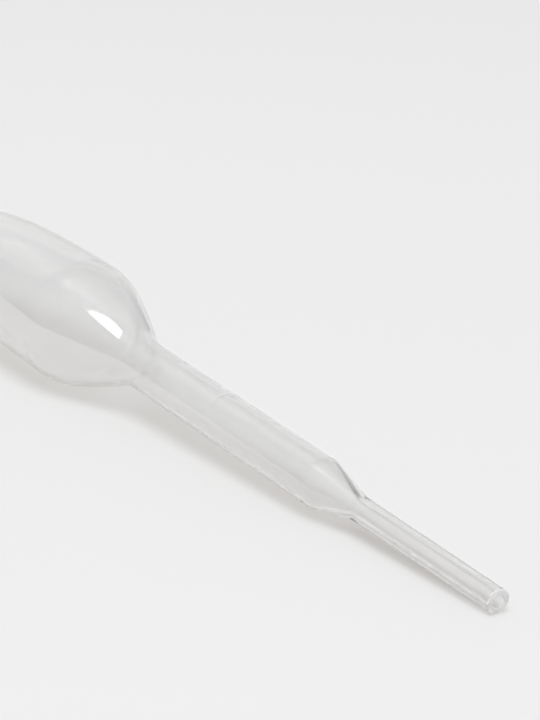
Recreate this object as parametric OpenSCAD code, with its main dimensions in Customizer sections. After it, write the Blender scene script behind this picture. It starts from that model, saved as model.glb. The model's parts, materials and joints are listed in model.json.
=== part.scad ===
// Dropper pipette moulded in one piece: a squeeze bulb, a stem and a thin open tip.
// It lies on a flat surface, on the side of its bulb and on the rim of its tip.

/* [Tip] */
// Outer diameter of the tip tube at its open end
tip_od = 2.5; // [2.2:0.1:3]
// Outer diameter of the tip tube where it meets the taper
tip_root_od = 2.66; // [2.5:0.02:3.4]
// Diameter of the bore through the tip tube
tip_bore = 1.25; // [0.8:0.05:1.6]
// Length of the tip tube
tip_len = 21.8; // [16:0.2:40]

/* [Taper] */
// Length of the cone between the tip tube and the stem
taper_len = 6; // [4:0.5:12]

/* [Stem] */
// Outer diameter of the stem
stem_od = 5.3; // [4.8:0.1:5.8]
// Length of the straight stem
stem_len = 32.8; // [24:0.2:80]

/* [Bulb] */
// Outer diameter of the bulb at its widest place
bulb_od = 14; // [13:0.5:15]
// Length of the domed back of the bulb, from its widest place to its closed end
back_len = 30; // [24:0.5:50]
// Fullness of the domed back, where 2 is an ellipse
back_fullness = 2.5; // [2:0.1:3]
// Steepest slope of the shoulder, in degrees from the axis
shoulder_slope = 24.5; // [24:0.5:28]
// Radius of the shoulder's slight crown
shoulder_crown = 100; // [90:5:200]
// Radius of the round where the shoulder meets the bulb
shoulder_round = 11; // [8:0.2:14]
// Radius of the hollow where the shoulder meets the stem
shoulder_hollow = 4; // [2:0.5:5]

/* [Wall] */
// Wall thickness of the bulb and the stem
wall = 0.4; // [0.35:0.05:0.7]

/* [Graduation mark] */
// Distance of the raised mark from the taper
mark_place = 17.3; // [5:0.1:20]
// Height of the mark above the stem
mark_height = 0.12; // [0.08:0.02:0.3]
// Width of the mark along the stem
mark_width = 0.4; // [0.3:0.1:1]
// Part of the stem's round that the mark covers, in degrees
mark_sweep = 110; // [60:10:180]

/* [Hidden] */
$fn = 96;
arc_steps = 12;
crown_steps = 6;
dome_steps = 32;
// Turn of the round body about its own axis, where its start meets its end
body_turn = 80;

tip_r = tip_od / 2;
tip_root_r = tip_root_od / 2;
bore_r = tip_bore / 2;
stem_r = stem_od / 2;
bulb_r = bulb_od / 2;

// Stations along the axis, counted from the open end of the tip
stem_start = tip_len + taper_len;
stem_end = stem_start + stem_len;

// The shoulder is a hollow arc, a slight crown and a round arc, each tangent to the next
crown_start = stem_end + shoulder_hollow * sin(shoulder_slope);
crown_centre_r = stem_r + shoulder_hollow - (shoulder_hollow + shoulder_crown) * cos(shoulder_slope);
crown_centre = crown_start + shoulder_crown * sin(shoulder_slope);
end_slope = acos((bulb_r - shoulder_round - crown_centre_r) / (shoulder_crown - shoulder_round));
widest = crown_centre - (shoulder_crown - shoulder_round) * sin(end_slope);

// The angle at which a line from the tip's rim touches the round of the shoulder
round_rise = bulb_r - shoulder_round - tip_r;
lie_angle = atan(round_rise / widest) + asin(shoulder_round / norm([widest, round_rise]));

// Reach of the tilted domed back beyond the widest place, level with the surface below
reach_power = back_fullness / (back_fullness - 1);
back_reach = pow(pow(back_len * cos(lie_angle), reach_power)
    + pow(bulb_r * sin(lie_angle), reach_power), 1 / reach_power);
tip_reach = tip_r * sin(lie_angle);
middle = (widest * cos(lie_angle) + back_reach - tip_reach) / 2;

// Points of the shoulder and the bulb as [radius, station], at a depth inside the outer surface
function shoulder_points(depth) = concat(
    [for (i = [0 : arc_steps]) let (a = shoulder_slope * i / arc_steps)
        [stem_r + shoulder_hollow - (shoulder_hollow + depth) * cos(a),
         stem_end + (shoulder_hollow + depth) * sin(a)]],
    [for (i = [1 : crown_steps])
        let (a = shoulder_slope + (end_slope - shoulder_slope) * i / crown_steps)
        [crown_centre_r + (shoulder_crown - depth) * cos(a),
         crown_centre - (shoulder_crown - depth) * sin(a)]],
    [for (i = [1 : arc_steps]) let (a = end_slope * (1 - i / arc_steps))
        [bulb_r - shoulder_round + (shoulder_round - depth) * cos(a),
         widest - (shoulder_round - depth) * sin(a)]]);

function back_points(depth) =
    [for (i = [1 : dome_steps]) let (a = 90 * i / dome_steps)
        [i == dome_steps ? 0 : (bulb_r - depth) * pow(cos(a), 2 / back_fullness),
         widest + (back_len - depth) * pow(sin(a), 2 / back_fullness)]];

function outer_points() = concat(
    [[0, 0], [tip_r, 0], [tip_root_r, tip_len], [stem_r, stem_start]],
    shoulder_points(0), back_points(0));

function inner_points() = concat(
    [[0, -1], [bore_r, -1], [bore_r, tip_len], [stem_r - wall, stem_start]],
    shoulder_points(wall), back_points(wall));

// The hollow body with its axis upright and its open tip down
module hollow_body() {
    rotate([0, 0, body_turn])
        rotate_extrude() difference() {
            polygon(outer_points());
            polygon(inner_points());
        }
}

// A low rib with a rounded crest round part of the stem
module graduation_mark() {
    rotate([0, 0, -mark_sweep / 2])
        rotate_extrude(angle = mark_sweep)
            translate([stem_r, stem_start + mark_place])
                polygon([
                    [-wall / 2, -mark_width / 2], [0, -mark_width / 2],
                    [mark_height * 0.75, -mark_width / 4], [mark_height, 0],
                    [mark_height * 0.75, mark_width / 4], [0, mark_width / 2],
                    [-wall / 2, mark_width / 2]]);
}

module pipette() {
    color([0.93, 0.94, 0.95, 0.45])
        translate([middle, 0, tip_r * cos(lie_angle)])
            rotate([0, lie_angle - 90, 0])
                union() {
                    hollow_body();
                    graduation_mark();
                }
}

pipette();
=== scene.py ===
"""Looks of a dropper pipette: one clear polyethylene moulding lying on a pale studio floor.

The wall is turned from a closed section by a Geometry Nodes tree, which adds the graduation mark,
the slight unevenness of the moulding and the rough cut of the tip. Its place and its lie come from
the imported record.
"""

import json
import logging
import math
from dataclasses import dataclass, field
from enum import Enum

import bpy
from mathutils import Matrix, Vector


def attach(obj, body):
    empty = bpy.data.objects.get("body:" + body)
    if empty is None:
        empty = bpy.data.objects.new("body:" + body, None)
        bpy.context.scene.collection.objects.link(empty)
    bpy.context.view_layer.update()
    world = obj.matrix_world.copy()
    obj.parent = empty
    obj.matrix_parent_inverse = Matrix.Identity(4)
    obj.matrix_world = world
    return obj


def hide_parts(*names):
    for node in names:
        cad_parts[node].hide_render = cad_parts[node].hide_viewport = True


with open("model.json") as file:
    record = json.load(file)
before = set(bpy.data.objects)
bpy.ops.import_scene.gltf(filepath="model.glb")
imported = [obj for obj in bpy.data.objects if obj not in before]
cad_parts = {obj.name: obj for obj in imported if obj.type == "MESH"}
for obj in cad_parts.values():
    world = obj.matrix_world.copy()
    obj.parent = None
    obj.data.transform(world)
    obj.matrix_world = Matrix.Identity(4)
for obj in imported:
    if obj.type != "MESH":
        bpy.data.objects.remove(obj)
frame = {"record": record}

MM = 0.001
LOG = logging.getLogger("dropper_pipette")

Point = tuple[float, float]


class Side(Enum):
    """Which face of the moulded wall a point of the section lies on."""

    OUTSIDE = 1.0
    RIM = 0.5
    INSIDE = 0.0


@dataclass(frozen=True)
class WallSizes:
    """Sizes of the moulding in metres and degrees, the same as in the part's source.

    The hollow between the stem and the shoulder is eased over a longer run, as a blown wall is.
    """

    tip_radius: float = 1.25 * MM
    tip_root_radius: float = 1.33 * MM
    bore_radius: float = 0.625 * MM
    tip_length: float = 21.8 * MM
    taper_length: float = 6.0 * MM
    stem_radius: float = 2.65 * MM
    stem_length: float = 32.8 * MM
    bulb_radius: float = 7.0 * MM
    back_length: float = 30.0 * MM
    back_fullness: float = 2.5
    shoulder_slope: float = 24.5
    shoulder_crown: float = 100.0 * MM
    shoulder_round: float = 11.0 * MM
    shoulder_hollow: float = 4.0 * MM
    hollow_ease: float = 5.0 * MM
    wall: float = 0.4 * MM
    rim_round: float = 0.05 * MM
    corner_round: float = 0.4 * MM

    @property
    def stem_start(self) -> float:
        """Station where the taper meets the stem."""
        return self.tip_length + self.taper_length

    @property
    def stem_end(self) -> float:
        """Station where the stem meets the shoulder."""
        return self.stem_start + self.stem_length

    @property
    def steepest(self) -> float:
        """Slope of the shoulder where the plain hollow meets the crown, in radians."""
        return math.radians(self.shoulder_slope)

    @property
    def crown_centre(self) -> Point:
        """Centre of the shoulder's crown.

        Returns:
            The centre as (radius, station).
        """
        reach = self.shoulder_hollow + self.shoulder_crown
        return (
            self.stem_radius + self.shoulder_hollow - reach * math.cos(self.steepest),
            self.stem_end + reach * math.sin(self.steepest),
        )

    @property
    def hollow(self) -> float:
        """Radius of the eased hollow between the stem and the shoulder."""
        return self.shoulder_hollow + self.hollow_ease

    @property
    def hollow_slope(self) -> float:
        """Slope of the shoulder where the eased hollow meets the crown, in radians."""
        level = self.stem_radius + self.hollow - self.crown_centre[0]
        return math.acos(level / (self.hollow + self.shoulder_crown))

    @property
    def hollow_centre(self) -> Point:
        """Centre of the eased hollow.

        Returns:
            The centre as (radius, station).
        """
        reach = self.hollow + self.shoulder_crown
        return (
            self.stem_radius + self.hollow,
            self.crown_centre[1] - reach * math.sin(self.hollow_slope),
        )

    @property
    def end_slope(self) -> float:
        """Slope of the shoulder where the crown meets the round, in radians."""
        level = self.bulb_radius - self.shoulder_round - self.crown_centre[0]
        return math.acos(level / (self.shoulder_crown - self.shoulder_round))

    @property
    def widest(self) -> float:
        """Station of the bulb's widest ring."""
        reach = self.shoulder_crown - self.shoulder_round
        return self.crown_centre[1] - reach * math.sin(self.end_slope)


@dataclass(frozen=True)
class MarkSizes:
    """Sizes of the raised graduation mark on the stem, in metres and degrees.

    Its crest is lower and wider than in the part's source, because a blown mark is soft.
    """

    place: float = 17.3 * MM
    height: float = 0.025 * MM
    width: float = 0.9 * MM
    sweep: float = 110.0


@dataclass
class Section:
    """The closed half section of the wall, as (radius, station) points from pole to pole.

    It runs from the closed back along the outside to the open tip, over the cut rim, and back
    along the inside. Stations count from the open end of the tip.

    Attributes:
        sizes: sizes of the wall.
        mark: sizes of the graduation mark, which needs finer steps.
        arc_steps: steps of each of the shoulder's three arcs.
        back_steps: steps of the domed back.
        corner_steps: steps of the round at each end of the taper.
        edge_steps: steps of the round at each edge of the rim.
        run_step: longest step along a straight run.
        fine_step: longest step under the mark and across the rim.
    """

    sizes: WallSizes
    mark: MarkSizes
    arc_steps: int = 20
    back_steps: int = 56
    corner_steps: int = 8
    edge_steps: int = 4
    run_step: float = 0.45 * MM
    fine_step: float = 0.08 * MM

    def run(self, start: Point, end: Point, step: float) -> list[Point]:
        """Points evenly along a straight line, without its last one.

        Args:
            start: first (radius, station) point.
            end: the point that the line leads to.
            step: the longest distance between two points.

        Returns:
            The points, start among them and end not.
        """
        count = max(1, math.ceil(math.dist(start, end) / step))
        return [
            (start[0] + (end[0] - start[0]) * i / count, start[1] + (end[1] - start[1]) * i / count)
            for i in range(count)
        ]

    def shoulder(self, depth: float) -> list[Point]:
        """The shoulder from the stem to the bulb's widest ring, at a depth in the wall.

        Args:
            depth: distance inside the outer face.

        Returns:
            Points of the hollow arc, the slight crown and the round arc, in that order.
        """
        s = self.sizes
        full = (s.bulb_radius - s.shoulder_round, s.widest)
        return (
            self.arc(s.hollow_centre, -s.hollow - depth, 0.0, s.hollow_slope)
            + self.arc(s.crown_centre, s.shoulder_crown - depth, s.hollow_slope, s.end_slope)[1:]
            + self.arc(full, s.shoulder_round - depth, s.end_slope, 0.0)[1:]
        )

    def arc(self, centre: Point, radius: float, start: float, end: float) -> list[Point]:
        """Points along an arc of the section.

        Args:
            centre: centre of the arc, as (radius, station).
            radius: radius of the arc, negative where it is hollow towards the outside.
            start: slope at its first point, in radians.
            end: slope at its last point.

        Returns:
            The points, both ends among them.
        """
        slopes = [start + (end - start) * i / self.arc_steps for i in range(self.arc_steps + 1)]
        return [
            (centre[0] + radius * math.cos(a), centre[1] - radius * math.sin(a)) for a in slopes
        ]

    def back(self, depth: float) -> list[Point]:
        """The domed back from the widest ring to its pole, at a depth in the wall.

        Args:
            depth: distance inside the outer face.

        Returns:
            Points after the widest ring, the pole last.
        """
        s, n = self.sizes, self.back_steps
        power = 2 / s.back_fullness
        points = []
        for i in range(1, n + 1):
            a = 0.5 * math.pi * i / n
            r = 0.0 if i == n else (s.bulb_radius - depth) * math.cos(a) ** power
            points.append((r, s.widest + (s.back_length - depth) * math.sin(a) ** power))
        return points

    def eased(self, before: Point, corner: Point, after: Point) -> list[Point]:
        """A corner of the section rounded within its own angle.

        Args:
            before: a point on the line that leads to the corner.
            corner: the corner.
            after: a point on the line that leads away.

        Returns:
            Points of a curve that is tangent to both lines.
        """
        reach, steps = self.sizes.corner_round, self.corner_steps

        def towards(p: Point) -> Point:
            """The point of a line at the round's reach from the corner."""
            share = reach / math.dist(p, corner)
            return (corner[0] + (p[0] - corner[0]) * share, corner[1] + (p[1] - corner[1]) * share)

        a, b = towards(before), towards(after)
        return [
            tuple((1 - t) ** 2 * a[k] + 2 * t * (1 - t) * corner[k] + t * t * b[k] for k in (0, 1))
            for t in (i / steps for i in range(steps + 1))
        ]

    def face(self, depth: float, tip: float, root: float) -> list[Point]:
        """One face of the wall from near the rim to its pole.

        Args:
            depth: the face's depth in the wall of the stem and the bulb.
            tip: its radius at the open end.
            root: its radius where the tip tube meets the taper.

        Returns:
            Points from the rim's end of the tip tube to the pole.
        """
        s = self.sizes
        start = (tip, s.rim_round)
        low, high = (root, s.tip_length), (s.stem_radius - depth, s.stem_start)
        end = (s.stem_radius - depth, s.hollow_centre[1])
        low_round, high_round = self.eased(start, low, high), self.eased(low, high, end)
        return (
            self.run(start, low_round[0], self.run_step)
            + low_round[:-1]
            + self.run(low_round[-1], high_round[0], self.run_step)
            + high_round[:-1]
            + self.stem(high_round[-1], end)
            + self.shoulder(depth)
            + self.back(depth)
        )

    def stem(self, start: Point, end: Point) -> list[Point]:
        """One face of the straight stem, with fine steps under the graduation mark.

        Args:
            start: its first point.
            end: the point that it leads to, on the same radius.

        Returns:
            The points, start among them and end not.
        """
        middle = self.sizes.stem_start + self.mark.place
        low, high = ((start[0], middle + k * self.mark.width) for k in (-1, 1))
        return (
            self.run(start, low, self.run_step)
            + self.run(low, high, self.fine_step)
            + self.run(high, end, self.run_step)
        )

    def rim(self) -> list[Point]:
        """The cut end of the tip with its two edges slightly rounded.

        Returns:
            Points from the outside to the inside, apart from the two that the faces end with.
        """
        s, n = self.sizes, self.edge_steps
        turns = [0.5 * math.pi * i / n for i in range(n + 1)]
        outer = [
            (s.tip_radius - s.rim_round * (1 - math.cos(a)), s.rim_round * (1 - math.sin(a)))
            for a in turns[1:]
        ]
        inner = [
            (s.bore_radius + s.rim_round * (1 - math.sin(a)), s.rim_round * (1 - math.cos(a)))
            for a in turns
        ]
        flat = self.run(outer[-1], inner[0], self.fine_step)[1:]
        return outer + flat + inner[:-1]

    def points(self) -> list[tuple[float, float, float]]:
        """The whole section.

        Returns:
            Its points as (radius, side, station), where side is the Side value.
        """
        s = self.sizes
        outside = self.face(0.0, s.tip_radius, s.tip_root_radius)[::-1]
        inside = self.face(s.wall, s.bore_radius, s.bore_radius)
        rim = self.rim()
        return (
            [(r, Side.OUTSIDE.value, z) for r, z in outside]
            + [(r, Side.RIM.value, z) for r, z in rim]
            + [(r, Side.INSIDE.value, z) for r, z in inside]
        )

    def polyline(self) -> bpy.types.Object:
        """The section as an object, for the turning tree to read.

        Returns:
            An object with one vertex for each point, in order.
        """
        points = self.points()
        mesh = bpy.data.meshes.new("wall_section")
        mesh.from_pydata(points, [(i, i + 1) for i in range(len(points) - 1)], [])
        section = bpy.data.objects.new("wall_section", mesh)
        bpy.context.scene.collection.objects.link(section)
        return section


class TreeWriter:
    """Writes nodes and links into a node tree, so that the trees below read as sums."""

    def __init__(self, tree: bpy.types.NodeTree) -> None:
        """Keeps the shader or geometry node tree that is written."""
        self.tree = tree

    def node(self, kind: str, **settings: object) -> bpy.types.Node:
        """Adds a node and sets its own settings.

        Args:
            kind: the node's type name.
            settings: attributes of the node.

        Returns:
            The new node.
        """
        made = self.tree.nodes.new(kind)
        for name, value in settings.items():
            setattr(made, name, value)
        return made

    def feed(self, socket: bpy.types.NodeSocket, value: object) -> None:
        """Links an output to an input, or sets the input to a plain value.

        Args:
            socket: the input.
            value: an output or a plain value.
        """
        if isinstance(value, bpy.types.NodeSocket):
            self.tree.links.new(value, socket)
        else:
            socket.default_value = value

    def math(self, operation: str, *values: object, clamp: bool = False) -> bpy.types.NodeSocket:
        """A Math node.

        Args:
            operation: the node's operation.
            values: outputs or numbers, in order.
            clamp: whether the result stays within 0 and 1.

        Returns:
            Its output.
        """
        made = self.node("ShaderNodeMath", operation=operation, use_clamp=clamp)
        for socket, value in zip(made.inputs, values):
            self.feed(socket, value)
        return made.outputs[0]

    def combine(self, x: object, y: object, z: object) -> bpy.types.NodeSocket:
        """A vector from its three parts.

        Args:
            x: the first part, an output or a number.
            y: the second part.
            z: the third part.

        Returns:
            The vector's output.
        """
        made = self.node("ShaderNodeCombineXYZ")
        for socket, value in zip(made.inputs, (x, y, z)):
            self.feed(socket, value)
        return made.outputs[0]

    def dot(self, vector: bpy.types.NodeSocket, fixed: Vector) -> bpy.types.NodeSocket:
        """The dot product of an output and a fixed vector.

        Args:
            vector: the output.
            fixed: the fixed vector.

        Returns:
            The product's output.
        """
        made = self.node("ShaderNodeVectorMath", operation="DOT_PRODUCT")
        self.feed(made.inputs[0], vector)
        self.feed(made.inputs[1], tuple(fixed))
        return made.outputs["Value"]

    def separate(self, vector: bpy.types.NodeSocket) -> list[bpy.types.NodeSocket]:
        """The three parts of a vector.

        Args:
            vector: the vector's output.

        Returns:
            Three outputs, in order.
        """
        made = self.node("ShaderNodeSeparateXYZ")
        self.feed(made.inputs[0], vector)
        return list(made.outputs)


@dataclass
class TurningTree:
    """The Geometry Nodes tree that turns the section round the pipette's axis.

    Its base geometry is the section. Angles count from the top of the pipette as it lies.

    Attributes:
        name: name of the node group.
        inputs: its named inputs and their socket types.
        merge_distance: points closer than this become one, at the seam and the poles.
        rim_band: how far a face's side may be from the rim's.
        mark_fade: angle over which the mark's ends run out, in radians.
        wave_scale: scale of the wall's unevenness, on a round of radius 1.
        wave_stretch: its measure along the axis.
        wave_start: run beyond the tip tube over which it sets in.
        pole_radius: radius below which it runs out to the poles.
        cut_scale: scale of the roughness of the cut.
        cut_level: where the noise is below this, the cut is at its foremost.
        cut_reach: how far up the tip the roughness of the cut reaches.
        detail: octaves of both noises.
    """

    name: str = "turned_wall"
    inputs: dict[str, str] = field(
        default_factory=lambda: {
            "Rings": "NodeSocketInt",
            "Steps": "NodeSocketInt",
            "Lie Angle": "NodeSocketFloat",
            "Tip Centre": "NodeSocketVector",
            "Mark Station": "NodeSocketFloat",
            "Mark Height": "NodeSocketFloat",
            "Mark Width": "NodeSocketFloat",
            "Mark Sweep": "NodeSocketFloat",
            "Unevenness": "NodeSocketFloat",
            "Even Tip": "NodeSocketFloat",
            "Cut Unevenness": "NodeSocketFloat",
            "Seed": "NodeSocketFloat",
            "Moulded Finish": "NodeSocketMaterial",
            "Cut Finish": "NodeSocketMaterial",
        }
    )
    merge_distance: float = 1e-6
    rim_band: float = 0.05
    mark_fade: float = 0.08
    wave_scale: float = 0.9
    wave_stretch: float = 90.0
    wave_start: float = 6.0 * MM
    pole_radius: float = 2.0 * MM
    cut_scale: float = 1100.0
    cut_level: float = 0.3
    cut_reach: float = 1.2 * MM
    detail: float = 2.0

    def build(self) -> bpy.types.NodeTree:
        """Writes the tree.

        Returns:
            The node group, ready for a modifier.
        """
        tree = bpy.data.node_groups.new(self.name, "GeometryNodeTree")
        tree.interface.new_socket("Geometry", in_out="INPUT", socket_type="NodeSocketGeometry")
        for name, kind in self.inputs.items():
            tree.interface.new_socket(name, in_out="INPUT", socket_type=kind)
        tree.interface.new_socket("Geometry", in_out="OUTPUT", socket_type="NodeSocketGeometry")
        w = TreeWriter(tree)
        given = w.node("NodeGroupInput").outputs

        columns = w.math("ADD", given["Steps"], 1.0)
        grid = w.node("GeometryNodeMeshGrid")
        w.feed(grid.inputs["Vertices X"], given["Rings"])
        w.feed(grid.inputs["Vertices Y"], columns)
        index = w.node("GeometryNodeInputIndex").outputs[0]
        ring = w.math("FLOOR", w.math("DIVIDE", index, columns))
        column = w.math("SUBTRACT", index, w.math("MULTIPLY", ring, columns))

        sample = w.node("GeometryNodeSampleIndex", data_type="FLOAT_VECTOR", domain="POINT")
        w.feed(sample.inputs["Geometry"], given["Geometry"])
        w.feed(sample.inputs["Value"], w.node("GeometryNodeInputPosition").outputs[0])
        w.feed(sample.inputs["Index"], ring)
        radius, side, station = w.separate(sample.outputs[0])
        turn = w.math("DIVIDE", w.math("MULTIPLY", column, 2 * math.pi), given["Steps"])
        up, across = w.math("COSINE", turn), w.math("SINE", turn)

        rise = self.mark_rise(w, given, side, station, turn)
        uneven = self.unevenness(w, given, radius, station, up, across)
        full = w.math("ADD", w.math("ADD", radius, rise), uneven)

        aside, above = w.math("MULTIPLY", full, across), w.math("MULTIPLY", full, up)
        along = w.math("ADD", station, self.cut_depth(w, given, station, aside, above))
        upright = w.combine(w.math("MULTIPLY", along, -1.0), aside, above)
        laid = w.node("ShaderNodeVectorRotate", rotation_type="Y_AXIS")
        w.feed(laid.inputs["Vector"], upright)
        w.feed(laid.inputs["Angle"], given["Lie Angle"])
        place = w.node("ShaderNodeVectorMath", operation="ADD")
        w.feed(place.inputs[0], laid.outputs[0])
        w.feed(place.inputs[1], given["Tip Centre"])

        turned = w.node("GeometryNodeSetPosition")
        w.feed(turned.inputs["Geometry"], grid.outputs["Mesh"])
        w.feed(turned.inputs["Position"], place.outputs[0])
        kept = turned.outputs[0]
        for name, value in (("station", station), ("side", side)):
            store = w.node("GeometryNodeStoreNamedAttribute", data_type="FLOAT", domain="POINT")
            w.feed(store.inputs["Geometry"], kept)
            w.feed(store.inputs["Name"], name)
            w.feed(store.inputs["Value"], value)
            kept = store.outputs[0]
        merged = w.node("GeometryNodeMergeByDistance")
        w.feed(merged.inputs["Geometry"], kept)
        w.feed(merged.inputs["Distance"], self.merge_distance)
        smooth = w.node("GeometryNodeSetShadeSmooth")
        w.feed(smooth.inputs["Geometry"], merged.outputs[0])
        real = w.node("GeometryNodeRealizeInstances")
        w.feed(real.inputs["Geometry"], smooth.outputs[0])
        moulded = w.node("GeometryNodeSetMaterial")
        w.feed(moulded.inputs["Geometry"], real.outputs[0])
        w.feed(moulded.inputs["Material"], given["Moulded Finish"])
        cut = w.node("GeometryNodeSetMaterial")
        w.feed(cut.inputs["Geometry"], moulded.outputs[0])
        w.feed(cut.inputs["Selection"], self.on_rim(w))
        w.feed(cut.inputs["Material"], given["Cut Finish"])
        w.feed(w.node("NodeGroupOutput").inputs["Geometry"], cut.outputs[0])
        return tree

    def on_rim(self, w: TreeWriter) -> bpy.types.NodeSocket:
        """Whether a face lies on the cut rim of the tip.

        Args:
            w: writer of the tree.

        Returns:
            The answer for each face.
        """
        side = w.node("GeometryNodeInputNamedAttribute", data_type="FLOAT")
        w.feed(side.inputs["Name"], "side")
        off = w.math("ABSOLUTE", w.math("SUBTRACT", side.outputs["Attribute"], Side.RIM.value))
        return w.math("LESS_THAN", off, self.rim_band)

    def mark_rise(
        self,
        w: TreeWriter,
        given: bpy.types.NodeOutputs,
        side: bpy.types.NodeSocket,
        station: bpy.types.NodeSocket,
        turn: bpy.types.NodeSocket,
    ) -> bpy.types.NodeSocket:
        """How far the graduation mark lifts the outer face.

        Args:
            w: writer of the tree.
            given: the tree's inputs.
            side: 1 on the outer face.
            station: place along the axis.
            turn: angle round the axis.

        Returns:
            The rise in metres, 0 off the mark.
        """
        off = w.math("ABSOLUTE", w.math("SUBTRACT", station, given["Mark Station"]))
        share = w.math("DIVIDE", off, w.math("MULTIPLY", given["Mark Width"], 0.5))
        bell = w.math("SUBTRACT", 1.0, w.math("MULTIPLY", share, share), clamp=True)
        crest = w.math("MULTIPLY", bell, bell)
        around = w.math("MINIMUM", turn, w.math("SUBTRACT", 2 * math.pi, turn))
        left = w.math("SUBTRACT", w.math("MULTIPLY", given["Mark Sweep"], 0.5), around)
        ends = w.math("DIVIDE", left, self.mark_fade, clamp=True)
        return w.math(
            "MULTIPLY",
            w.math("MULTIPLY", crest, ends),
            w.math("MULTIPLY", given["Mark Height"], side),
        )

    def unevenness(
        self,
        w: TreeWriter,
        given: bpy.types.NodeOutputs,
        radius: bpy.types.NodeSocket,
        station: bpy.types.NodeSocket,
        up: bpy.types.NodeSocket,
        across: bpy.types.NodeSocket,
    ) -> bpy.types.NodeSocket:
        """The slight unevenness of a blown wall, which only ever takes material away.

        Args:
            w: writer of the tree.
            given: the tree's inputs.
            radius: radius of the section.
            station: place along the axis.
            up: cosine of the angle round the axis.
            across: its sine.

        Returns:
            A change of radius of at most nothing, none at the rim and the poles.
        """
        place = w.combine(up, across, w.math("MULTIPLY", station, self.wave_stretch))
        noise = self.noise(w, given, place, self.wave_scale)
        blown = w.math("SUBTRACT", station, given["Even Tip"])
        start = w.math("DIVIDE", blown, self.wave_start, clamp=True)
        pole = w.math("DIVIDE", radius, self.pole_radius, clamp=True)
        depth = w.math("MULTIPLY", noise, w.math("MULTIPLY", start, pole))
        return w.math("MULTIPLY", depth, w.math("MULTIPLY", given["Unevenness"], -1.0))

    def cut_depth(
        self,
        w: TreeWriter,
        given: bpy.types.NodeOutputs,
        station: bpy.types.NodeSocket,
        aside: bpy.types.NodeSocket,
        above: bpy.types.NodeSocket,
    ) -> bpy.types.NodeSocket:
        """How far the rough cut of the tip lies behind its foremost point.

        Args:
            w: writer of the tree.
            given: the tree's inputs.
            station: place along the axis.
            aside: place across the axis.
            above: height over the axis.

        Returns:
            A shift along the axis, 0 a little way up the tip.
        """
        noise = self.noise(w, given, w.combine(aside, above, 0.0), self.cut_scale)
        deep = w.math("SUBTRACT", noise, self.cut_level, clamp=True)
        near = w.math("SUBTRACT", 1.0, w.math("DIVIDE", station, self.cut_reach), clamp=True)
        return w.math("MULTIPLY", w.math("MULTIPLY", deep, near), given["Cut Unevenness"])

    def noise(
        self,
        w: TreeWriter,
        given: bpy.types.NodeOutputs,
        place: bpy.types.NodeSocket,
        scale: float,
    ) -> bpy.types.NodeSocket:
        """Smooth noise that the tree's seed fixes.

        Args:
            w: writer of the tree.
            given: the tree's inputs.
            place: the vector that it follows.
            scale: its scale.

        Returns:
            A value around 0.5.
        """
        made = w.node("ShaderNodeTexNoise", noise_dimensions="4D")
        w.feed(made.inputs["Vector"], place)
        w.feed(made.inputs["W"], given["Seed"])
        w.feed(made.inputs["Scale"], scale)
        w.feed(made.inputs["Detail"], self.detail)
        return made.outputs[0]


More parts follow.
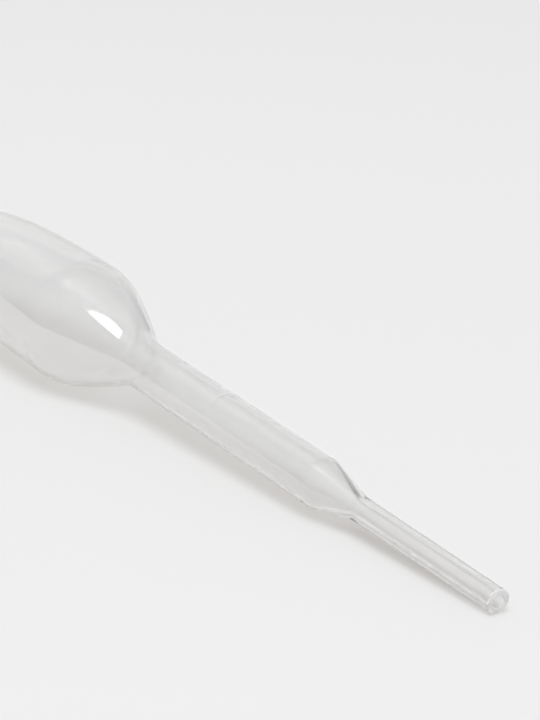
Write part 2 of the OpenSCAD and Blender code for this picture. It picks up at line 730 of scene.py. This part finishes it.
@dataclass(frozen=True)
class ClearPolyethylene:
    """Clear, slightly hazy low-density polyethylene, as moulded or as cut.

    Attributes:
        name: name of the material.
        roughness: least roughness of the surface.
        clearness: share of light that goes through unscattered where the wall is thin.
        cloudiness: share of light that is scattered inside, for a rough cut.
        lie_angle: angle of the pipette's axis from level, in radians.
        tint: colour of the clearest places.
        cloud_tint: how much of that colour the cloudiest places keep.
        lamp_tint: how much of a lamp's light each face lets through, met head on.
        edge_tint: the same where the wall is thick or met edge on.
        tip_haze: clearness that the thick wall of the tip loses.
        edge_haze: clearness that the thin wall loses where it is seen edge on.
        tip_end: station where the tip's wall starts to thin.
        taper_end: station from which the wall is blown thin.
        stem_end: station where the stem gives way to the shoulder.
        stem_depth: how thick the stem's wall counts beside the tip's.
        fade: run over which the shadow's tint changes.
        short_fade: run over which the haze changes.
        ior: index of refraction.
        scatter: how far light spreads inside the cloudy cut.
        roughness_spread: how much rougher the cloudiest places are.
        cloud_scale: scale of the cloudiness.
        cloud_detail: its octaves.
        flow_height: depth of the fine flow lines along the axis.
        flow_strength: how strongly they turn the surface.
        flow_scale: their scale round the axis.
        flow_stretch: their scale along the axis, as a share of that.
        flow_detail: their octaves.
        veil_blend: blend of the layer weight that tints the shadow.
        edge_blend: blend of the layer weight behind the edge haze.
        edge_power: how closely that haze keeps to the edge.
    """

    name: str
    roughness: float
    clearness: float
    cloudiness: float
    lie_angle: float
    tint: tuple[float, float, float] = (0.98, 0.98, 0.98)
    cloud_tint: float = 0.98
    lamp_tint: tuple[float, float, float] = (0.955, 0.95, 0.945)
    edge_tint: tuple[float, float, float] = (0.85, 0.84, 0.83)
    tip_haze: float = 0.13
    edge_haze: float = 0.5
    tip_end: float = 22.0 * MM
    taper_end: float = 27.0 * MM
    stem_end: float = 61.0 * MM
    stem_depth: float = 0.4
    fade: float = 6.0 * MM
    short_fade: float = 1.5 * MM
    ior: float = 1.51
    scatter: float = 0.6 * MM
    roughness_spread: float = 0.04
    cloud_scale: float = 160.0
    cloud_detail: float = 4.0
    flow_height: float = 0.02 * MM
    flow_strength: float = 0.3
    flow_scale: float = 1400.0
    flow_stretch: float = 0.01
    flow_detail: float = 3.0
    veil_blend: float = 0.35
    edge_blend: float = 0.5
    edge_power: float = 3.0

    def build(self) -> bpy.types.Material:
        """Writes the material.

        Returns:
            A material that refracts what is behind it and lets lamps through its wall.
        """
        made = bpy.data.materials.new(self.name)
        made.use_nodes = True
        tree = made.node_tree
        tree.nodes.clear()
        w = TreeWriter(tree)
        path = w.node("ShaderNodeLightPath").outputs
        mix = w.node("ShaderNodeMixShader")
        w.feed(mix.inputs[0], w.math("MAXIMUM", path["Is Shadow Ray"], path["Is Diffuse Ray"]))
        w.feed(mix.inputs[1], self.plastic(w))
        w.feed(mix.inputs[2], self.veil(w))
        w.feed(w.node("ShaderNodeOutputMaterial").inputs["Surface"], mix.outputs[0])
        return made

    def plastic(self, w: TreeWriter) -> bpy.types.NodeSocket:
        """The plastic as the eye and other surfaces see it.

        Args:
            w: writer of the material's tree.

        Returns:
            The shader's output.
        """
        cloud = w.node("ShaderNodeTexNoise")
        w.feed(cloud.inputs["Vector"], w.node("ShaderNodeTexCoord").outputs["Object"])
        w.feed(cloud.inputs["Scale"], self.cloud_scale)
        w.feed(cloud.inputs["Detail"], self.cloud_detail)
        rough = w.math("MULTIPLY_ADD", cloud.outputs[0], self.roughness_spread, self.roughness)
        tint = w.node("ShaderNodeMix", data_type="RGBA")
        w.feed(tint.inputs["Factor"], cloud.outputs[0])
        w.feed(tint.inputs["A"], (*self.tint, 1.0))
        w.feed(tint.inputs["B"], (*(self.cloud_tint * c for c in self.tint), 1.0))

        flow = w.node("ShaderNodeTexNoise")
        w.feed(flow.inputs["Vector"], self.along_axis(w))
        w.feed(flow.inputs["Scale"], self.flow_scale)
        w.feed(flow.inputs["Detail"], self.flow_detail)
        bump = w.node("ShaderNodeBump")
        w.feed(bump.inputs["Strength"], self.flow_strength)
        w.feed(bump.inputs["Distance"], self.flow_height)
        w.feed(bump.inputs["Height"], flow.outputs[0])

        body = w.node("ShaderNodeBsdfPrincipled")
        w.feed(body.inputs["Base Color"], tint.outputs["Result"])
        w.feed(body.inputs["Roughness"], rough)
        w.feed(body.inputs["IOR"], self.ior)
        w.feed(body.inputs["Transmission Weight"], self.clear_share(w))
        w.feed(body.inputs["Subsurface Weight"], self.cloudiness)
        w.feed(body.inputs["Subsurface Radius"], (1.0, 1.0, 1.0))
        w.feed(body.inputs["Subsurface Scale"], self.scatter)
        w.feed(body.inputs["Normal"], bump.outputs[0])
        return body.outputs[0]

    def veil(self, w: TreeWriter) -> bpy.types.NodeSocket:
        """The wall as lamps and light off the floor meet it: a pale tint, for a pale shadow.

        Args:
            w: writer of the material's tree.

        Returns:
            The shader's output.
        """
        facing = w.node("ShaderNodeLayerWeight")
        w.feed(facing.inputs["Blend"], self.veil_blend)
        depth = w.math("MAXIMUM", facing.outputs["Facing"], self.thick_wall(w))
        tint = w.node("ShaderNodeMix", data_type="RGBA")
        w.feed(tint.inputs["Factor"], depth)
        w.feed(tint.inputs["A"], (*self.lamp_tint, 1.0))
        w.feed(tint.inputs["B"], (*self.edge_tint, 1.0))
        through = w.node("ShaderNodeBsdfTransparent")
        w.feed(through.inputs["Color"], tint.outputs["Result"])
        return through.outputs[0]

    def clear_share(self, w: TreeWriter) -> bpy.types.NodeSocket | float:
        """The share of light that goes through unscattered.

        The haze builds up in the thick wall of the tip, and where the thin wall is seen edge on.

        Args:
            w: writer of the material's tree.

        Returns:
            The share, plain 0 where the finish isn't clear.
        """
        if not self.clearness:
            return 0.0
        tip = self.before(w, self.tip_end - self.short_fade, self.short_fade)
        blown = w.math("SUBTRACT", 1.0, self.before(w, self.taper_end, self.short_fade))
        grazing = w.node("ShaderNodeLayerWeight")
        w.feed(grazing.inputs["Blend"], self.edge_blend)
        edge = w.math("MULTIPLY", w.math("POWER", grazing.outputs["Facing"], self.edge_power), blown)
        plain = w.math("MULTIPLY_ADD", tip, -self.tip_haze, self.clearness)
        return w.math("MULTIPLY_ADD", edge, -self.edge_haze, plain)

    def thick_wall(self, w: TreeWriter) -> bpy.types.NodeSocket:
        """How thick the wall counts: 1 in the tip tube, less in the stem, 0 in the bulb."""
        tip, stem = (self.before(w, end, self.fade) for end in (self.tip_end, self.stem_end))
        return w.math("MAXIMUM", tip, w.math("MULTIPLY", stem, self.stem_depth))

    def before(self, w: TreeWriter, end: float, fade: float) -> bpy.types.NodeSocket:
        """1 before a station along the axis and 0 well after it.

        Args:
            w: writer of the material's tree.
            end: the station at which the fall to 0 starts.
            fade: length of the fall.

        Returns:
            The share.
        """
        station = w.node("ShaderNodeAttribute", attribute_name="station").outputs["Fac"]
        past = w.math("DIVIDE", w.math("SUBTRACT", station, end), fade, clamp=True)
        return w.math("SUBTRACT", 1.0, past)

    def along_axis(self, w: TreeWriter) -> bpy.types.NodeSocket:
        """Object coordinates turned to the pipette's axis and drawn out along it.

        Args:
            w: writer of the material's tree.

        Returns:
            The coordinates' output.
        """
        turned = w.node("ShaderNodeMapping")
        w.feed(turned.inputs["Vector"], w.node("ShaderNodeTexCoord").outputs["Object"])
        turned.inputs["Rotation"].default_value = (0.0, -self.lie_angle, 0.0)
        drawn = w.node("ShaderNodeMapping")
        w.feed(drawn.inputs["Vector"], turned.outputs[0])
        drawn.inputs["Scale"].default_value = (self.flow_stretch, 1.0, 1.0)
        return drawn.outputs[0]


@dataclass
class PipetteBody:
    """The one moulded piece: bulb, shoulder, stem, taper and open tip.

    Attributes:
        sizes: sizes of the wall.
        mark: sizes of the graduation mark.
        steps: number of steps round the axis.
        unevenness: most that the blown wall loses.
        cut_unevenness: depth of the rough cut for a full step of its noise.
        seed: seed of the unevenness.
        mount_depth: how deep in the bore the record's mount point lies.
        lie_angle: angle of the axis from level, in radians.
        tip_centre: middle of the tip's open end.
    """

    sizes: WallSizes = field(default_factory=WallSizes)
    mark: MarkSizes = field(default_factory=MarkSizes)
    steps: int = 160
    unevenness: float = 0.008 * MM
    cut_unevenness: float = 0.6 * MM
    seed: float = 4.0
    mount_depth: float = 1.0 * MM
    lie_angle: float = field(init=False)
    tip_centre: Vector = field(init=False)

    def __post_init__(self) -> None:
        """Reads the pipette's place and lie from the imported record."""
        mount = next(m for m in frame["record"]["mounts"] if m["name"] == "tip_bore")
        axis = Vector(mount["axis"]).normalized()
        self.lie_angle = math.asin(-axis.z)
        self.tip_centre = Vector(mount["pos_m"]) + axis * self.mount_depth

    def build(self) -> bpy.types.Object:
        """Turns the wall and puts it on the frame.

        Returns:
            The finished piece.
        """
        moulded = ClearPolyethylene(
            name="moulded_polyethylene",
            roughness=0.04,
            clearness=0.925,
            cloudiness=0.0,
            lie_angle=self.lie_angle,
        )
        cut = ClearPolyethylene(
            name="cut_polyethylene",
            roughness=0.45,
            clearness=0.0,
            cloudiness=1.0,
            lie_angle=self.lie_angle,
            tint=(0.74, 0.74, 0.74),
        )
        section = Section(self.sizes, self.mark).polyline()
        turning = section.modifiers.new("turning", "NODES")
        turning.node_group = TurningTree().build()
        values = {
            "Rings": len(section.data.vertices),
            "Steps": self.steps,
            "Lie Angle": self.lie_angle,
            "Tip Centre": tuple(self.tip_centre),
            "Mark Station": self.sizes.stem_start + self.mark.place,
            "Mark Height": self.mark.height,
            "Mark Width": self.mark.width,
            "Mark Sweep": math.radians(self.mark.sweep),
            "Unevenness": self.unevenness,
            "Even Tip": self.sizes.tip_length,
            "Cut Unevenness": self.cut_unevenness,
            "Seed": self.seed,
            "Moulded Finish": moulded.build(),
            "Cut Finish": cut.build(),
        }
        for item in turning.node_group.interface.items_tree:
            if item.in_out == "INPUT" and item.name in values:
                turning[item.identifier] = values[item.name]
        piece = self.made_plain(section)
        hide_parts("pipette")
        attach(piece, "root")
        return piece

    def made_plain(self, section: bpy.types.Object) -> bpy.types.Object:
        """The turned wall as a plain mesh object at the origin.

        Args:
            section: the section with its turning modifier, which is removed.

        Returns:
            The new object.
        """
        graph = bpy.context.evaluated_depsgraph_get()
        mesh = bpy.data.meshes.new_from_object(section.evaluated_get(graph))
        mesh.name = "pipette_body"
        mesh.materials.pop(index=0)
        piece = bpy.data.objects.new("pipette_body", mesh)
        bpy.context.scene.collection.objects.link(piece)
        bpy.data.objects.remove(section)
        return piece


@dataclass(frozen=True)
class SoftCard:
    """A pale card of the room, far away.

    Attributes:
        azimuth: direction of its middle round the table, in degrees from the tip's.
        elevation: direction of its middle over the floor, in degrees.
        width: its spread from side to side, in degrees.
        height: its spread from foot to top, in degrees.
        radiance: what it adds to the room's.
        edge: width of its soft edge, as a tangent.
        least_depth: keeps the division finite for directions at right angles to it.
    """

    azimuth: float
    elevation: float
    width: float
    height: float
    radiance: float
    edge: float = 0.12
    least_depth: float = 0.001

    def share(self, w: TreeWriter, way: bpy.types.NodeSocket) -> bpy.types.NodeSocket:
        """How much of the card lies in a direction.

        Args:
            w: writer of the world's tree.
            way: the direction.

        Returns:
            1 on the card, 0 off it, and a soft edge between.
        """
        a, e = math.radians(self.azimuth), math.radians(self.elevation)
        toward = Vector((math.cos(a) * math.cos(e), math.sin(a) * math.cos(e), math.sin(e)))
        aside = Vector((-math.sin(a), math.cos(a), 0.0))
        depth = w.dot(way, toward)
        near = w.math("MAXIMUM", depth, self.least_depth)
        masks = [w.math("GREATER_THAN", depth, 0.0)]
        for axis, spread in ((aside, self.width), (toward.cross(aside), self.height)):
            off = w.math("ABSOLUTE", w.math("DIVIDE", w.dot(way, axis), near))
            left = w.math("SUBTRACT", math.tan(math.radians(spread / 2)), off)
            masks.append(w.math("MULTIPLY_ADD", left, 1.0 / self.edge, 0.5, clamp=True))
        return w.math("MULTIPLY", masks[0], w.math("MULTIPLY", masks[1], masks[2]))


@dataclass
class Studio:
    """The pale floor, the soft light and the camera.

    Attributes:
        floor_colour: colour of the floor.
        floor_size: its width and length.
        floor_gap: how far it lies under the object.
        key_direction: where the soft box hangs, seen from the middle of the floor.
        key_distance: its distance.
        key_size: its width and length.
        key_watts: its power.
        room: radiance of the dim room.
        cards: the pale cards in it.
        azimuth: the camera's turn from square on to the pipette's side towards its tip, in degrees.
        elevation: its height over the floor, in degrees.
        distance: its distance from the target.
        target: the point that it looks at.
        lens: its focal length in millimetres.
        sensor: the width of its sensor in millimetres.
        clip: the nearest and the farthest that it sees.
    """

    floor_colour: tuple[float, float, float] = (0.863, 0.863, 0.863)
    floor_size: float = 6.0
    floor_gap: float = 0.02 * MM
    key_direction: tuple[float, float, float] = (0.22, -0.28, 1.0)
    key_distance: float = 2.5
    key_size: tuple[float, float] = (1.6, 1.15)
    key_watts: float = 50.0
    room: float = 0.12
    cards: dict[str, SoftCard] = field(
        default_factory=lambda: {
            "backdrop": SoftCard(160.0, 16.0, width=70.0, height=64.0, radiance=0.43),
            "backdrop foot": SoftCard(160.0, 8.0, width=70.0, height=44.0, radiance=0.35),
            "side wall": SoftCard(112.0, 8.0, width=26.0, height=44.0, radiance=0.3),
            "front fill": SoftCard(0.0, 33.0, width=60.0, height=30.0, radiance=2.2),
            "strip": SoftCard(-152.0, 67.0, width=14.0, height=10.0, radiance=0.7, edge=0.04),
        }
    )
    azimuth: float = 55.87
    elevation: float = 19.79
    distance: float = 334.34 * MM
    target: tuple[float, float, float] = (-15.792 * MM, 21.003 * MM, 0.0)
    lens: float = 150.0
    sensor: float = 36.0
    clip: tuple[float, float] = (0.01, 50.0)

    def build(self) -> None:
        """Makes everything that is not the object."""
        self.lay_floor()
        self.light_world()
        self.hang_key()
        self.aim_camera()

    def lay_floor(self) -> None:
        """A wide pale floor just under the object."""
        half, z = self.floor_size / 2, -self.floor_gap
        mesh = bpy.data.meshes.new("studio_floor")
        corners = [(-half, -half, z), (half, -half, z), (half, half, z), (-half, half, z)]
        mesh.from_pydata(corners, [], [(0, 1, 2, 3)])
        floor = bpy.data.objects.new("studio_floor", mesh)
        bpy.context.scene.collection.objects.link(floor)
        made = bpy.data.materials.new("pale_floor")
        made.use_nodes = True
        made.node_tree.nodes.clear()
        w = TreeWriter(made.node_tree)
        matte = w.node("ShaderNodeBsdfDiffuse")
        w.feed(matte.inputs["Color"], (*self.floor_colour, 1.0))
        w.feed(w.node("ShaderNodeOutputMaterial").inputs["Surface"], matte.outputs[0])
        mesh.materials.append(made)

    def light_world(self) -> None:
        """A dim room with a few pale cards round the table."""
        world = bpy.data.worlds.new("soft_room")
        bpy.context.scene.world = world
        world.use_nodes = True
        tree = world.node_tree
        tree.nodes.clear()
        w = TreeWriter(tree)
        way = w.node("ShaderNodeTexCoord").outputs["Generated"]
        light = self.room
        for card in self.cards.values():
            light = w.math("MULTIPLY_ADD", card.share(w, way), card.radiance, light)
        sky = w.node("ShaderNodeBackground")
        w.feed(sky.inputs["Strength"], light)
        w.feed(w.node("ShaderNodeOutputWorld").inputs["Surface"], sky.outputs[0])

    def hang_key(self) -> None:
        """A large soft box almost overhead."""
        lamp = bpy.data.lights.new("soft_box", "AREA")
        lamp.shape = "RECTANGLE"
        lamp.size, lamp.size_y = self.key_size
        lamp.energy = self.key_watts
        box = bpy.data.objects.new("soft_box", lamp)
        way = Vector(self.key_direction).normalized()
        along = (Vector((0.0, 1.0, 0.0)) - way * way.y).normalized()
        turn = Matrix((along.cross(way), along, way)).transposed()
        box.matrix_world = Matrix.Translation(way * self.key_distance) @ turn.to_4x4()
        bpy.context.scene.collection.objects.link(box)

    def aim_camera(self) -> None:
        """The camera, looking down on the tip's side of the pipette."""
        a, e = math.radians(self.azimuth), math.radians(self.elevation)
        back = Vector((math.sin(a) * math.cos(e), -math.cos(a) * math.cos(e), math.sin(e)))
        data = bpy.data.cameras.new("studio_camera")
        data.lens = self.lens
        data.sensor_width = self.sensor
        data.sensor_fit = "AUTO"
        data.clip_start, data.clip_end = self.clip
        camera = bpy.data.objects.new("studio_camera", data)
        camera.location = Vector(self.target) + back * self.distance
        camera.rotation_mode = "QUATERNION"
        camera.rotation_quaternion = (-back).to_track_quat("-Z", "Y")
        bpy.context.scene.collection.objects.link(camera)
        bpy.context.scene.camera = camera


def main() -> None:
    """Builds the pipette and its studio."""
    logging.basicConfig(level=logging.INFO, format="%(name)s: %(message)s")
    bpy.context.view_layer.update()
    piece = PipetteBody().build()
    mesh = piece.data
    LOG.info("%s: %d vertices, %d faces", piece.name, len(mesh.vertices), len(mesh.polygons))
    Studio().build()
    bpy.context.scene.view_settings.view_transform = "Standard"


if __name__ == "__main__":
    main()
